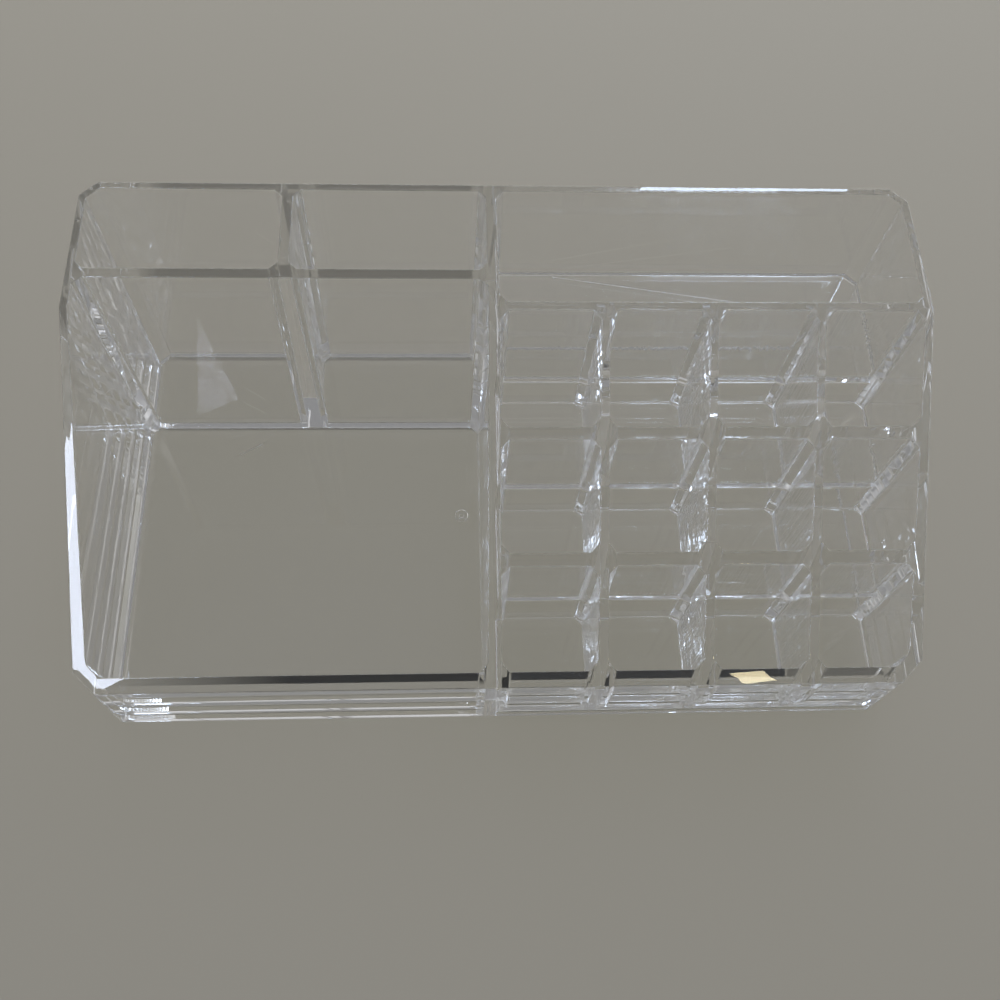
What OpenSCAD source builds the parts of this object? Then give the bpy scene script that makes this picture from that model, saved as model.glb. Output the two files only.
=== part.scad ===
// Clear vanity organizer: a one-piece moulding with sixteen compartments.
// Two bays stand side by side at the back left, with a large tray in front of them. A long raised
// tray stands at the back right, with three rows of lipstick cells stepping down in front of it.
//
// The compartments are spaces with leaning sides and bevelled upright corners, as a mould's core
// leaves them. Walls and dividers widen towards the table, and where one meets another its end
// spreads into a web on each side. The pieces meet face to face, and none reaches into another.
//
// Millimetres, +Z up, +Y to the back. The origin is the middle of the base, on the table.

/* [Overall size] */
// Width across the base
base_w = 241; // [215:1:280]
// Depth across the base
base_d = 135; // [124:1:160]
// Height of the level rim at the back
height = 85; // [78:1:105]
// Height of the rim at the front
front_h = 30; // [22:1:40]
// Lean of the outside faces, in degrees
outer_lean = 0.4; // [0.1:0.1:1]
// Leg of the bevel on each upright outside corner, at the rim
corner_cut = 4.8; // [3:0.2:6]

/* [Walls and floors] */
// Thickness of the outside walls at the rim
outer_wall = 2.2; // [1.6:0.1:3]
// Lean of the inside faces of the outside walls, in degrees
inner_lean = 1.6; // [1:0.1:2]
// Thickness of the three tall dividers at the rim
divider_wall = 3.2; // [2:0.1:4]
// Thickness of the walls between rows of cells
row_wall = 2.7; // [1.6:0.1:3.6]
// Thickness of the walls between cells in a row
column_wall = 2.2; // [1.6:0.1:3.2]
// Lean of each face of a divider or cell wall, in degrees
divider_lean = 0.5; // [0.1:0.1:1]
// Thickness of every floor
floor_t = 2.4; // [1.6:0.1:3]
// Radius where the floor turns up into an outside wall, in the bays and the front tray
cove = 2.8; // [1:0.2:3.2]
// Leg of the web in each inside corner
web = 2.3; // [1.2:0.1:3.2]
// Leg of the bevel inside the four outside corners
corner_web = 3.4; // [2:0.2:5]

/* [Compartments] */
// Clear width of the front tray, at the rim's level
tray_w = 113; // [95:1:125]
// Clear depth of the two bays behind it
bay_d = 28; // [22:1:38]
// Clear depth of the raised tray, front to back
raised_d = 38.7; // [30:0.5:46]
// Depth of the raised tray below the rim
raised_deep = 37; // [30:1:42]
// Height of the lowest cells' floor
low_floor = 5.5; // [5:0.5:8]
// Rise from one row of cells to the next
cell_step = 15.2; // [10:0.4:17]

/* [Underside] */
// Thickness of the outside walls where they stand on the table, under the raised floors
skirt = 2.6; // [1.8:0.1:3.2]
// Diameter of the moulding gate's dimple, under the front tray
gate_d = 4.4; // [3:0.2:6]
// Depth of the dimple
gate_deep = 0.6; // [0.3:0.1:0.9]
// Gap between the dimple's middle and the main divider
gate_gap = 5.8; // [4:0.2:12]

/* [Hidden] */
cell_cols = 4;
cell_rows = 3;
row_names = ["upper", "middle", "lower"];
cove_steps = 4;
// The trimmed gate inside the dimple, as shares of the dimple's diameter and depth
gate_nub_d_share = 0.36;
gate_nub_h_share = 0.5;
// How far the space under the floors bites into the foot of each wall above it
bite = 0.3;
// How far the rim starts to fall in front of the cells' rear wall
bend_gap = 0.4;
// Length of outside wall that goes with each corner, beyond the corner's own bevel
corner_margin = 1;
// Overrun of every cut
over = 1;
clear = [0.86, 0.91, 0.93, 0.5];
$fn = 48;

// How far a leaning face has moved where it comes down to height z, from the rim's level
outer_t = tan(outer_lean);
inner_t = tan(inner_lean);
divider_t = tan(divider_lean);
function outer_run(z) = outer_t * (height - z);
function inner_run(z) = inner_t * (height - z);
function divider_run(z) = divider_t * (height - z);

// The outside walls' outside and inside faces, at the rim's level, and their inside feet
rim_x = base_w / 2 - outer_run(0);
rim_y = base_d / 2 - outer_run(0);
in_x = rim_x - outer_wall;
in_y = rim_y - outer_wall;
foot_x = in_x - inner_run(0);
foot_y = in_y - inner_run(0);

// The tall dividers' faces, at the rim's level
main_l = tray_w - in_x;
main_r = main_l + divider_wall;
cross_b = in_y - bay_d;
cross_f = cross_b - divider_wall;
bay_w = (tray_w - divider_wall) / 2;
bay_wall_l = bay_w - in_x;
bay_wall_r = bay_wall_l + divider_wall;
main_mid = (main_l + main_r) / 2;
cross_mid = (cross_f + cross_b) / 2;

// The raised tray, and the grid of cells in front of it
raised_floor = height - raised_deep;
grid_b = in_y - raised_d;
grid_f = grid_b - row_wall;
cell_w = (in_x - main_r - (cell_cols - 1) * column_wall) / cell_cols;
cell_d = (grid_f + in_y - (cell_rows - 1) * row_wall) / cell_rows;
function cell_x(col) = main_r + col * (cell_w + column_wall);
function cell_y(row) = grid_f - cell_d - row * (cell_d + row_wall);
function cell_floor(row) = low_floor + (cell_rows - 1 - row) * cell_step;

// The wall behind each row of cells, and the undersides of the floors in front and behind
function wall_front(row) = cell_y(row) + cell_d;
function wall_mid(row) = wall_front(row) + row_wall / 2;
function floor_above(row) = row == 0 ? raised_floor : cell_floor(row - 1);
function ceiling(row) = cell_floor(row) - floor_t;
function ceiling_above(row) = floor_above(row) - floor_t;
// The wall's back face, where it carries on down below the floor behind it
function riser(row, z) = wall_front(row) + row_wall + divider_run(ceiling_above(row)) - bite
    - divider_t * (ceiling_above(row) - z);

// The corner pieces' inner sides
corner_x = foot_x - corner_web - corner_margin;
corner_y = foot_y - corner_web - corner_margin;

// The rim's line: level almost to the cells' rear wall, then straight down to the front
bend_y = grid_f - bend_gap;
rim_slope = (height - front_h) / (bend_y + base_d / 2 - outer_t * front_h);

// Length that spans the whole part, however it is turned
span = base_w + base_d;
// From below everything to above it
tall = [-over, height + 2 * over];
// Reach of a web's box from the wall that it stands against, at the rim's level
web_reach = divider_run(0) + inner_run(0) + web + over;

// Shapes that everything is made of

// An upright prism through the whole part, its outline drawn in a plane turned about Z
module upright(outline, turn) {
    rotate([90, 0, turn]) linear_extrude(span, center = true) polygon(outline);
}

module span_box(x, y, z) {
    translate([x[0], y[0], z[0]]) cube([x[1] - x[0], y[1] - y[0], z[1] - z[0]]);
}

// Outline of a block seen along its length. side holds its two sides at the rim's level, and
// lean is how far each moves in for each millimetre down.
function leaning(side, lean, z0, z1) = [
    [side[0] + lean[0] * (height - z0), z0],
    [side[1] - lean[1] * (height - z0), z0],
    [side[1] - lean[1] * (height - z1), z1],
    [side[0] + lean[0] * (height - z1), z1]
];

// A block with leaning sides and bevelled upright corners. cut holds the legs of the bevels at
// front left, front right, back right and back left. cut_lean is how fast they grow with each
// millimetre down. grow moves the sides out by themselves, across and front to back.
module block(x, y, lean_x, lean_y, cut, z, cut_lean = 0, grow = [0, 0]) {
    side_45 = [x[0] + y[0] + cut[0], x[1] + y[1] - cut[2]] / sqrt(2);
    lean_45 = [lean_x[0] + lean_y[0] + cut_lean, lean_x[1] + lean_y[1] + cut_lean] / sqrt(2);
    side_135 = [y[0] - x[1] + cut[1], y[1] - x[0] - cut[3]] / sqrt(2);
    lean_135 = [lean_x[1] + lean_y[0] + cut_lean, lean_x[0] + lean_y[1] + cut_lean] / sqrt(2);
    intersection() {
        upright(leaning([x[0] - grow[0], x[1] + grow[0]], lean_x, z[0], z[1]), 0);
        upright(leaning([y[0] - grow[1], y[1] + grow[1]], lean_y, z[0], z[1]), 90);
        upright(leaning(side_45, lean_45, z[0], z[1]), 45);
        upright(leaning(side_135, lean_135, z[0], z[1]), 135);
    }
}

// A slab across the part, widening towards the table: its faces at the rim's level
module slab(side, turn, z0) {
    upright(leaning(side, [-divider_t, -divider_t], z0, height + over), turn);
}

module main_slab(z0) { slab([main_l, main_r], 0, z0); }
module cross_slab(z0) { slab([cross_f, cross_b], 90, z0); }
module row_slab(row, z0) { slab([wall_front(row), wall_front(row) + row_wall], 90, z0); }

// The compartments: sides across and front to back at the rim's level, leans of those sides,
// legs of the corner bevels, and the floor's height

front_tray = [[-in_x, main_l], [-in_y, cross_f], [inner_t, divider_t], [inner_t, divider_t],
    [corner_web, web, web, web], floor_t];
left_bay = [[-in_x, bay_wall_l], [cross_b, in_y], [inner_t, divider_t], [divider_t, inner_t],
    [web, web, web, corner_web], floor_t];
right_bay = [[bay_wall_r, main_l], [cross_b, in_y], [divider_t, divider_t],
    [divider_t, inner_t], [web, web, web, web], floor_t];
raised_tray = [[main_r, in_x], [grid_b, in_y], [divider_t, inner_t], [divider_t, inner_t],
    [web, web, corner_web, web], raised_floor];
function cell(row, col) =
    let (
        last_row = row == cell_rows - 1,
        last_col = col == cell_cols - 1
    )
    [[cell_x(col), cell_x(col) + cell_w], [cell_y(row), cell_y(row) + cell_d],
        [divider_t, last_col ? inner_t : divider_t],
        [last_row ? inner_t : divider_t, divider_t],
        [web, last_row && last_col ? corner_web : web, web, web], cell_floor(row)];

// A compartment's space as a cutter, with its sides moved out by grow beyond their own faces
module space(p, grow) {
    block(p[0], p[1], p[2], p[3], p[4], [p[5] - over, height + 2 * over], grow = grow);
}

// A web: what a compartment leaves of a box around one upright corner. side is -1 or 1 for its
// left or right and its front or back. The web runs on into the two walls that it joins.
module corner_of(p, side) {
    function range(at, to) = to < 0 ? [at - over, at + web_reach] : [at - web_reach, at + over];
    difference() {
        span_box(
            range(p[0][side[0] < 0 ? 0 : 1], side[0]),
            range(p[1][side[1] < 0 ? 0 : 1], side[1]),
            [p[5], height + over]);
        space(p, [2 * over, 2 * over]);
    }
}

// The space inside the outside walls
module inside() {
    block([-in_x, in_x], [-in_y, in_y], [inner_t, inner_t], [inner_t, inner_t],
        [for (i = [0:3]) corner_web], tall);
}

// Everything below the rim's line
module under_rim() {
    front = -base_d;
    upright([[front, -over], [base_d, -over], [base_d, height], [bend_y, height],
        [front, height - rim_slope * (bend_y - front)]], 90);
}

// The outside walls in one
module shell() {
    difference() {
        intersection() {
            block([-rim_x, rim_x], [-rim_y, rim_y], [-outer_t, -outer_t], [-outer_t, -outer_t],
                [for (i = [0:3]) corner_cut], [0, height + over], cut_lean = 2 * outer_t);
            under_rim();
        }
        inside();
    }
}

// The space under the raised floors, open to the table. It steps down with the floors, and
// every side spreads towards the table.
module underside() {
    left = main_r + 2 * divider_run(ceiling_above(0)) - bite;
    right = base_w / 2 - skirt - divider_run(0);
    back = base_d / 2 - skirt - divider_run(0);
    cut = corner_cut + 2 * outer_run(0) - (2 - sqrt(2)) * skirt;
    intersection() {
        block([left, right], [-back, back], [-divider_t, -divider_t], [-divider_t, -divider_t],
            [-over, cut, cut, -over], [-over, height]);
        upright(concat(
            [[-span, -2 * over], [span, -2 * over], [span, ceiling_above(0)]],
            [for (row = [0:cell_rows - 1], foot = [false, true])
                let (z = foot ? ceiling(row) : ceiling_above(row)) [riser(row, z), z]],
            [[-span, ceiling(cell_rows - 1)]]), 90);
    }
}

// A cove along the foot of an outside wall, whose inside face is at side at the rim's level
module cove_along(side, turn) {
    wall = side + inner_run(floor_t + cove);
    upright(concat(
        [[wall - over, floor_t], [wall - over, floor_t + cove]],
        [for (i = [0:cove_steps]) let (a = 180 + 90 * i / cove_steps)
            [wall + cove * (1 + cos(a)), floor_t + cove * (1 + sin(a))]]), turn);
}

module left_cove() { cove_along(-in_x, 0); }
module front_cove() { cove_along(-in_y, 90); }
module rear_cove() { cove_along(-in_y, 270); }

// Outside walls and corners

// The corners on the cells' side stand over the space below the floors. side is -1 in front.
module right_corner(side) {
    color(clear) difference() {
        intersection() {
            shell();
            span_box([corner_x, span], side < 0 ? [-span, -corner_y] : [corner_y, span], tall);
        }
        underside();
    }
}

module left_corner(side) {
    color(clear) union() {
        intersection() {
            shell();
            span_box([-span, -corner_x], side < 0 ? [-span, -corner_y] : [corner_y, span], tall);
        }
        intersection() {
            union() {
                left_cove();
                if (side < 0) front_cove(); else rear_cove();
            }
            span_box([-foot_x - over, -corner_x],
                side < 0 ? [-foot_y - over, -corner_y] : [corner_y, foot_y + over], tall);
        }
    }
}

module rear_left_corner() { left_corner(1); }
module rear_right_corner() { right_corner(1); }
module front_left_corner() { left_corner(-1); }
module front_right_corner() { right_corner(-1); }

module left_side_wall() {
    color(clear) intersection() {
        union() {
            intersection() {
                shell();
                span_box([-span, 0], [-span, span], tall);
            }
            intersection() {
                left_cove();
                union() {
                    space(front_tray, [2 * over, 0]);
                    space(left_bay, [2 * over, 0]);
                }
            }
        }
        span_box([-span, span], [-corner_y, corner_y], tall);
    }
}

module right_side_wall() {
    color(clear) difference() {
        intersection() {
            shell();
            span_box([0, span], [-corner_y, corner_y], tall);
        }
        underside();
    }
}

module rear_wall() {
    color(clear) difference() {
        intersection() {
            union() {
                intersection() {
                    shell();
                    span_box([-span, span], [0, span], tall);
                }
                intersection() {
                    rear_cove();
                    union() {
                        space(left_bay, [0, 2 * over]);
                        space(right_bay, [0, 2 * over]);
                    }
                }
            }
            span_box([-corner_x, corner_x], [-span, span], tall);
        }
        underside();
    }
}

module front_wall() {
    color(clear) difference() {
        intersection() {
            union() {
                intersection() {
                    shell();
                    span_box([-span, span], [-span, 0], tall);
                }
                intersection() {
                    front_cove();
                    space(front_tray, [0, 2 * over]);
                }
            }
            span_box([-corner_x, corner_x], [-span, span], tall);
        }
        underside();
    }
}

// Tall dividers

module main_divider() {
    color(clear) difference() {
        intersection() {
            union() {
                main_slab(0);
                corner_of(front_tray, [1, -1]);
                corner_of(right_bay, [1, 1]);
                corner_of(raised_tray, [-1, 1]);
                corner_of(cell(cell_rows - 1, 0), [-1, -1]);
            }
            inside();
            under_rim();
        }
        underside();
    }
}

module cross_divider() {
    color(clear) difference() {
        intersection() {
            union() {
                cross_slab(floor_t);
                for (side = [-1, 1]) corner_of(front_tray, [side, 1]);
                corner_of(left_bay, [-1, -1]);
                corner_of(right_bay, [1, -1]);
            }
            inside();
            span_box([-span, main_mid], [-span, span], [0, height]);
        }
        main_slab(-over);
    }
}

module bay_divider() {
    color(clear) difference() {
        intersection() {
            span_box([bay_wall_l - web_reach, bay_wall_r + web_reach], [cross_mid, span],
                [floor_t, height]);
            inside();
        }
        space(left_bay, [0, 2 * over]);
        space(right_bay, [0, 2 * over]);
        cross_slab(-over);
    }
}

// Floors

// The dimple leaves the trimmed gate standing in its middle, short of the table
module gate_dimple() {
    difference() {
        translate([0, 0, -over]) cylinder(d = gate_d, h = over + gate_deep);
        translate([0, 0, gate_deep * (1 - gate_nub_h_share)])
            cylinder(d = gate_d * gate_nub_d_share, h = gate_deep);
    }
}

module base_plate() {
    color(clear) difference() {
        intersection() {
            inside();
            span_box([-span, main_mid], [-span, span], [0, floor_t]);
        }
        main_slab(-over);
        translate([main_l - divider_run(0) - gate_gap, 0, 0]) gate_dimple();
    }
}

module raised_tray_floor() {
    color(clear) difference() {
        intersection() {
            inside();
            span_box([main_mid, span], [wall_mid(0), span], [ceiling_above(0), raised_floor]);
        }
        main_slab(-over);
        row_slab(0, -over);
    }
}

module row_floor(row) {
    last = row == cell_rows - 1;
    color(clear) difference() {
        intersection() {
            inside();
            span_box([main_mid, span], [last ? -span : wall_mid(row + 1), wall_mid(row)],
                [ceiling(row), cell_floor(row)]);
        }
        main_slab(-over);
        row_slab(row, -over);
        if (!last) row_slab(row + 1, -over);
    }
}

// Walls of the cells

// The wall behind a row of cells carries on down behind that row's floor
module row_wall_piece(row) {
    top = height + over;
    front = wall_front(row);
    back = front + row_wall;
    low = ceiling(row);
    high = ceiling_above(row);
    behind = [for (col = [0, cell_cols - 1]) row == 0 ? raised_tray : cell(row - 1, col)];
    color(clear) difference() {
        intersection() {
            union() {
                upright([
                    [front - divider_run(low), low], [riser(row, low), low],
                    [riser(row, high), high], [back + divider_run(high), high],
                    [back + divider_run(top), top], [front - divider_run(top), top]], 90);
                corner_of(cell(row, 0), [-1, 1]);
                corner_of(cell(row, cell_cols - 1), [1, 1]);
                corner_of(behind[0], [-1, -1]);
                corner_of(behind[1], [1, -1]);
            }
            inside();
            under_rim();
            span_box([main_mid, span], [-span, span], tall);
        }
        main_slab(-over);
    }
}

module grid_rear_wall() { row_wall_piece(0); }
module upper_row_wall() { row_wall_piece(1); }
module lower_row_wall() { row_wall_piece(2); }

// The wall between cells col - 1 and col of one row
module partition(row, col) {
    last = row == cell_rows - 1;
    color(clear) difference() {
        intersection() {
            span_box([cell_x(col) - column_wall - web_reach, cell_x(col) + web_reach],
                [last ? -span : wall_mid(row + 1), wall_mid(row)],
                [cell_floor(row), height + over]);
            inside();
            under_rim();
        }
        space(cell(row, col - 1), [0, 2 * over]);
        space(cell(row, col), [0, 2 * over]);
        row_slab(row, -over);
        if (!last) row_slab(row + 1, -over);
    }
}

base_plate();
left_side_wall();
right_side_wall();
rear_wall();
front_wall();
rear_left_corner();
rear_right_corner();
front_left_corner();
front_right_corner();
main_divider();
cross_divider();
bay_divider();
raised_tray_floor();
grid_rear_wall();
upper_row_wall();
lower_row_wall();
for (row = [0:cell_rows - 1]) {
    row_floor(row);
    for (col = [1:cell_cols - 1])
        partition(row, col);
}
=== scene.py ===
"""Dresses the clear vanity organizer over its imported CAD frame, with a floor, lights and a camera.

The organizer is one injection moulding in crystal polystyrene. It is built here as one closed
skin: the linings of its sixteen compartments, the outside walls, the hollow under the raised
floors, and the flat faces of the rim and the base that join them. The sizes are the part's own, in
millimetres, and the finished mesh is in metres.
"""

from __future__ import annotations

import logging
import math
from dataclasses import dataclass, field
from enum import Enum
from functools import reduce
from typing import Any, Iterable, Sequence

import bmesh
import bpy
from mathutils import Matrix, Vector
from mathutils.geometry import delaunay_2d_cdt

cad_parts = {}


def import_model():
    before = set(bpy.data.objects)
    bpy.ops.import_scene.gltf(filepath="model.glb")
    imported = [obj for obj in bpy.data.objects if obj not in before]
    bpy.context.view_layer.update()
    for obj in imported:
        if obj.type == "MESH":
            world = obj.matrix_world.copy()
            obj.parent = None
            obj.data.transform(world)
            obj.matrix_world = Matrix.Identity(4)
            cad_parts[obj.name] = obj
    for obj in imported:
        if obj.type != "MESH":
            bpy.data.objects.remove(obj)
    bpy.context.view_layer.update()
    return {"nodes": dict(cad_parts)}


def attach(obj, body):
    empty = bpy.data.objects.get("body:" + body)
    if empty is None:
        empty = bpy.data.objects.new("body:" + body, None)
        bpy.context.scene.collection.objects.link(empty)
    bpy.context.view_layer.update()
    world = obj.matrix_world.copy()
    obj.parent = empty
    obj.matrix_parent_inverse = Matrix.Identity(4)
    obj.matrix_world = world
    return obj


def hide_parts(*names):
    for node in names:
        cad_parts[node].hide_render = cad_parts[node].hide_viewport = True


log = logging.getLogger("vanity_organizer")

MM = 0.001

# How near counts as the same, in millimetres: points of a sheet, heights of a flat face, points
# that are welded in the hollow, and places on the rim's bend. The whole moulding is welded in
# metres
SAME_MM = 1e-7
FLAT_MM = 1e-6
WELD_MM = 1e-5
BEND_MM = 1e-4
WELD_M = 2e-6

Ring = list[Vector]
Pair = tuple[float, float]
Triple = tuple[float, float, float]
Four = tuple[float, float, float, float]
Shape = bmesh.types.BMesh
Tree = bpy.types.NodeTree


# Sizes


def slope(degrees: float) -> float:
    """How far a leaning face moves for each millimetre of height."""
    return math.tan(math.radians(degrees))


@dataclass(frozen=True)
class Moulding:
    """The organizer's own sizes, in millimetres. Widths and depths are those at the rim's level."""

    base_w: float = 241.0
    base_d: float = 135.0
    height: float = 85.0
    front_h: float = 30.0
    corner_cut: float = 4.8
    outer_wall: float = 2.2
    divider_wall: float = 3.2
    row_wall: float = 2.7
    column_wall: float = 2.2
    floor_t: float = 2.4
    cove: float = 2.8
    web: float = 2.3
    corner_web: float = 3.4
    tray_w: float = 113.0
    bay_d: float = 28.0
    raised_d: float = 38.7
    raised_deep: float = 37.0
    low_floor: float = 5.5
    cell_step: float = 15.2
    skirt: float = 2.6
    gate_d: float = 4.4
    gate_deep: float = 0.6
    gate_gap: float = 5.8
    cell_cols: int = 4
    cell_rows: int = 3
    # How far each millimetre down moves an outside face out, an outside wall's inside face in and
    # a divider's face out
    outer_t: float = slope(0.4)
    inner_t: float = slope(1.6)
    divider_t: float = slope(0.5)
    # Radii that a polished mould leaves: the rim's edges, the feet of the dividers, and the
    # upright edges inside and outside
    lip: float = 0.3
    foot: float = 0.9
    upright: float = 0.8
    base_edge: float = 0.4
    # How far the rim's bend lies behind the rim edge of the back row of cells
    bend_gap: float = 0.1

    @property
    def rim_x(self) -> float:
        """Half the width of the rim."""
        return self.base_w / 2 - self.outer_t * self.height

    @property
    def rim_y(self) -> float:
        """Half the depth of the rim."""
        return self.base_d / 2 - self.outer_t * self.height

    @property
    def in_x(self) -> float:
        """Half the width inside the rim."""
        return self.rim_x - self.outer_wall

    @property
    def in_y(self) -> float:
        """Half the depth inside the rim."""
        return self.rim_y - self.outer_wall

    @property
    def main_l(self) -> float:
        """Left face of the main divider."""
        return self.tray_w - self.in_x

    @property
    def main_r(self) -> float:
        """Right face of the main divider."""
        return self.main_l + self.divider_wall

    @property
    def cross_b(self) -> float:
        """Back face of the divider behind the front tray."""
        return self.in_y - self.bay_d

    @property
    def bay_w(self) -> float:
        """Width of each of the two bays."""
        return (self.tray_w - self.divider_wall) / 2

    @property
    def raised_floor(self) -> float:
        """Height of the raised tray's floor."""
        return self.height - self.raised_deep

    @property
    def grid_b(self) -> float:
        """Back face of the wall behind the cells."""
        return self.in_y - self.raised_d

    @property
    def grid_f(self) -> float:
        """Front face of the wall behind the cells."""
        return self.grid_b - self.row_wall

    @property
    def cell_w(self) -> float:
        """Width of a cell."""
        walls = (self.cell_cols - 1) * self.column_wall
        return (self.in_x - self.main_r - walls) / self.cell_cols

    @property
    def cell_d(self) -> float:
        """Depth of a cell, front to back."""
        walls = (self.cell_rows - 1) * self.row_wall
        return (self.grid_f + self.in_y - walls) / self.cell_rows

    @property
    def bend_y(self) -> float:
        """Where the rim starts to fall, just behind the rim edge of the back row of cells."""
        return self.grid_f + self.lip + self.bend_gap

    @property
    def rim_slope(self) -> float:
        """Fall of the rim for each millimetre forward."""
        front = self.outer_t * self.front_h - self.base_d / 2
        return (self.height - self.front_h) / (self.bend_y - front)

    def rim(self, y: float) -> float:
        """Height of the rim's plane at a place along the depth."""
        return self.height - self.rim_slope * max(0.0, self.bend_y - y)

    def cell_x(self, col: int) -> float:
        """Left side of a column of cells."""
        return self.main_r + col * (self.cell_w + self.column_wall)

    def cell_y(self, row: int) -> float:
        """Front side of a row of cells, counted from the back."""
        return self.grid_f - self.cell_d - row * (self.cell_d + self.row_wall)

    def cell_floor(self, row: int) -> float:
        """Height of the floor of a row of cells."""
        return self.low_floor + (self.cell_rows - 1 - row) * self.cell_step


# Outlines


# An outline's first side looks forward, and each one after it looks this much further round
EIGHTH = math.pi / 4
# A crease's points follow the arcs that lead into the right side and into the left side
CREASED = (1, 5)
# Faces round an upright edge, round the edges of the rim, base and hollow, round the foot of a
# divider and round the cove of an outside wall
ARC_STEPS = 3
EDGE_STEPS = 3
FOOT_STEPS = 4
COVE_STEPS = 6
# Height over which an outline's lean is taken, in millimetres
LEAN_SPAN = 10.0


@dataclass(frozen=True)
class Outline:
    """A leaning outline of four sides and four corner bevels, with its upright edges rounded.

    The sides come in the order front, right, back, left, and the bevels front right, back right,
    back left, front left. A reach is a side's distance from the origin along its own direction, at
    the rim's level. A lean is how far a side moves in for each millimetre down.
    """

    height: float
    reach: Four
    lean: Four
    cut: Four
    radius: float
    cut_lean: float = 0.0
    crease: float | None = None

    def sides(self, z: float, inset: Sequence[float] | None = None) -> list[float]:
        """Distances of the eight sides from the origin at one height.

        Args:
            z: The height.
            inset: How far each of the eight sides is moved in, or none.

        Returns:
            The eight distances, each along its own direction.
        """
        drop = self.height - z
        flat = [r - t * drop for r, t in zip(self.reach, self.lean)]
        found = []
        for i in range(4):
            leg = self.cut[i] + self.cut_lean * drop
            found += [flat[i], (flat[i] + flat[(i + 1) % 4] - leg) / math.sqrt(2)]
        return [c - m for c, m in zip(found, inset or [0.0] * 8)]

    def walk(self, z: float, inset: Sequence[float] | None = None) -> list[Four]:
        """Places round the outline at one height, anticlockwise from the front right edge.

        Args:
            z: The height.
            inset: How far each of the eight sides is moved in, or none.

        Returns:
            Each place's x and y and its outward direction's. There are as many at every height.
        """
        c = self.sides(z, inset)
        found = []
        for i in range(8):
            a = (i - 2) * EIGHTH
            b = a + EIGHTH
            p, q = c[i] - self.radius, c[(i + 1) % 8] - self.radius
            s = math.sin(EIGHTH)
            x = (p * math.sin(b) - q * math.sin(a)) / s
            y = (q * math.cos(a) - p * math.cos(b)) / s
            for step in range(ARC_STEPS + 1):
                t = a + (b - a) * step / ARC_STEPS
                nx, ny = math.cos(t), math.sin(t)
                found.append((x + self.radius * nx, y + self.radius * ny, nx, ny))
            if self.crease is not None and i in CREASED:
                nx = 1.0 if i == CREASED[0] else -1.0
                found.append((nx * c[i + 1], self.crease, nx, 0.0))
        return found

    def ring(self, z: float, inset: Sequence[float] | None = None) -> Ring:
        """The outline at one height, as walk() gives it."""
        return [Vector((x, y, z)) for x, y, *_ in self.walk(z, inset)]

    def rim_rings(self, size: Moulding, lip: float, way: float) -> list[Ring]:
        """Rings that carry the outline up to the rim's plane and round over its edge.

        Args:
            size: The moulding, whose rim's plane may slope.
            lip: Radius of the rim's edge.
            way: 1 if the plastic is outside the outline, -1 if it is inside.

        Returns:
            The rings, the last one in the rim's plane.
        """
        top, low = self.walk(self.height), self.walk(self.height - LEAN_SPAN)
        rings = []
        for step in range(EDGE_STEPS + 1):
            turn = math.pi / 2 * step / EDGE_STEPS
            depth, over = lip * (1 - math.sin(turn)), lip * (1 - math.cos(turn))
            ring = []
            for (x, y, nx, ny), (xl, yl, *_) in zip(top, low):
                dx, dy = (x - xl) / LEAN_SPAN, (y - yl) / LEAN_SPAN
                z = size.height
                if y < size.bend_y:
                    z -= size.rim_slope * (size.bend_y - y) / (1 - size.rim_slope * dy)
                z -= depth
                px = x + dx * (z - self.height) + way * nx * over
                py = y + dy * (z - self.height) + way * ny * over
                ring.append(Vector((px, py, size.rim(py) - depth)))
            rings.append(ring)
        return rings


# Meshes


@dataclass
class Skin:
    """Points and faces of a mesh in the making, in millimetres."""

    points: list[Vector] = field(default_factory=list)
    faces: list[tuple[int, ...]] = field(default_factory=list)

    def add(self, ring: Iterable[Vector]) -> list[int]:
        """Adds points and returns their places in the list."""
        start = len(self.points)
        self.points += list(ring)
        return list(range(start, len(self.points)))

    def bridge(self, low: Sequence[int], high: Sequence[int], inward: bool) -> None:
        """Joins two rings of the same length by a band of faces.

        Args:
            low: The lower ring.
            high: The upper ring.
            inward: True if the faces look towards the rings' middle.
        """
        for i in range(len(low)):
            j = (i + 1) % len(low)
            face = (low[i], low[j], high[j], high[i])
            self.faces.append(tuple(reversed(face)) if inward else face)

    def loft(self, rings: Sequence[Ring], inward: bool) -> list[list[int]]:
        """Adds rings and joins each to the next.

        Args:
            rings: The rings, in order upwards or inwards.
            inward: True if the faces look towards the rings' middle.

        Returns:
            The places of each ring's points.
        """
        added = [self.add(ring) for ring in rings]
        for low, high in zip(added, added[1:]):
            self.bridge(low, high, inward)
        return added

    def mesh(self, name: str) -> bpy.types.Mesh:
        """A Blender mesh of the skin, in metres."""
        made = bpy.data.meshes.new(name)
        made.from_pydata([p * MM for p in self.points], [], self.faces)
        return made


def inside(point: Pair, loop: Sequence[Vector]) -> bool:
    """True if a point lies inside a closed loop, seen from above."""
    x, y = point
    within = False
    for a, b in zip(loop, [*loop[1:], loop[0]]):
        if (a.y > y) != (b.y > y) and x < a.x + (y - a.y) * (b.x - a.x) / (b.y - a.y):
            within = not within
    return within


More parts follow.
